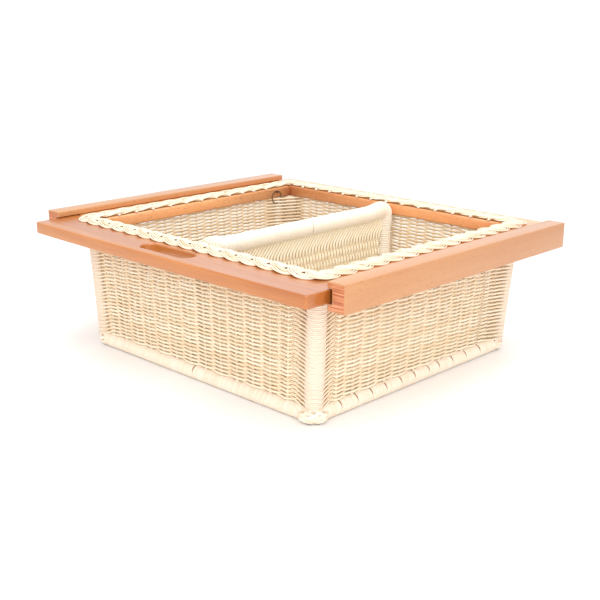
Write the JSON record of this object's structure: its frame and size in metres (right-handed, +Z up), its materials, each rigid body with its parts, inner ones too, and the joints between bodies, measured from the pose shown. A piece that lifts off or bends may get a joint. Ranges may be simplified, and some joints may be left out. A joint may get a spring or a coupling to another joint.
{
  "type": "pull-out kitchen basket",
  "caption": "Woven cane basket hanging in a flat beech frame with finger slot and plaited border, lift-out divider, and grooved side runners it slides in.",
  "frame": {"origin": "on the floor under the middle of the frame", "axes": "+X to the right seen from the front, -Y towards the front board, +Z up"},
  "size_m": [0.564, 0.5, 0.1887],
  "materials": {
    "frame_beech": "lacquered beech, satin gloss",
    "runner_beech": "planed beech, lightly lacquered",
    "woven_cane": "natural peeled cane, woven, matt",
    "plaited_cane": "natural peeled cane, plaited, satin",
    "pale_cane": "flat cane wrapped close, pale, satin",
    "wire": "dull brown wire"
  },
  "bodies": {
    "runners": {"left_runner": "runner_beech", "right_runner": "runner_beech"},
    "basket": {"front_board": "frame_beech", "rear_board": "frame_beech", "left_board": "frame_beech", "right_board": "frame_beech", "dowel_front_left_1": "frame_beech", "dowel_front_left_2": "frame_beech", "dowel_rear_left_1": "frame_beech", "dowel_rear_left_2": "frame_beech", "dowel_front_right_1": "frame_beech", "dowel_front_right_2": "frame_beech", "dowel_rear_right_1": "frame_beech", "dowel_rear_right_2": "frame_beech", "front_wall": "woven_cane", "rear_wall": "woven_cane", "left_wall": "woven_cane", "right_wall": "woven_cane", "front_foot_roll": "pale_cane", "rear_foot_roll": "pale_cane", "left_foot_roll": "pale_cane", "right_foot_roll": "pale_cane", "front_border": "plaited_cane", "rear_border": "plaited_cane", "left_border": "plaited_cane", "right_border": "plaited_cane", "corner_post_front_left": "pale_cane", "corner_post_rear_left": "pale_cane", "corner_post_front_right": "pale_cane", "corner_post_rear_right": "pale_cane", "corner_knot_front_left": "pale_cane", "corner_knot_rear_left": "pale_cane", "corner_knot_front_right": "pale_cane", "corner_knot_rear_right": "pale_cane", "woven_base": "woven_cane", "ring_pin": "wire", "hanging_ring": "wire"},
    "divider": {"divider_bar": "pale_cane", "divider_post_front": "pale_cane", "divider_post_rear": "pale_cane", "divider_panel": "woven_cane"}
  },
  "joints": [
    {"name": "basket_pull", "type": "slide", "parent": "runners", "child": "basket", "axis": [0, -1, 0], "range_m": [-0.02, 0.4]},
    {"name": "divider_lift", "type": "slide", "parent": "basket", "child": "divider", "axis": [0, 0, 1], "range_m": [0, 0.2]}
  ]
}
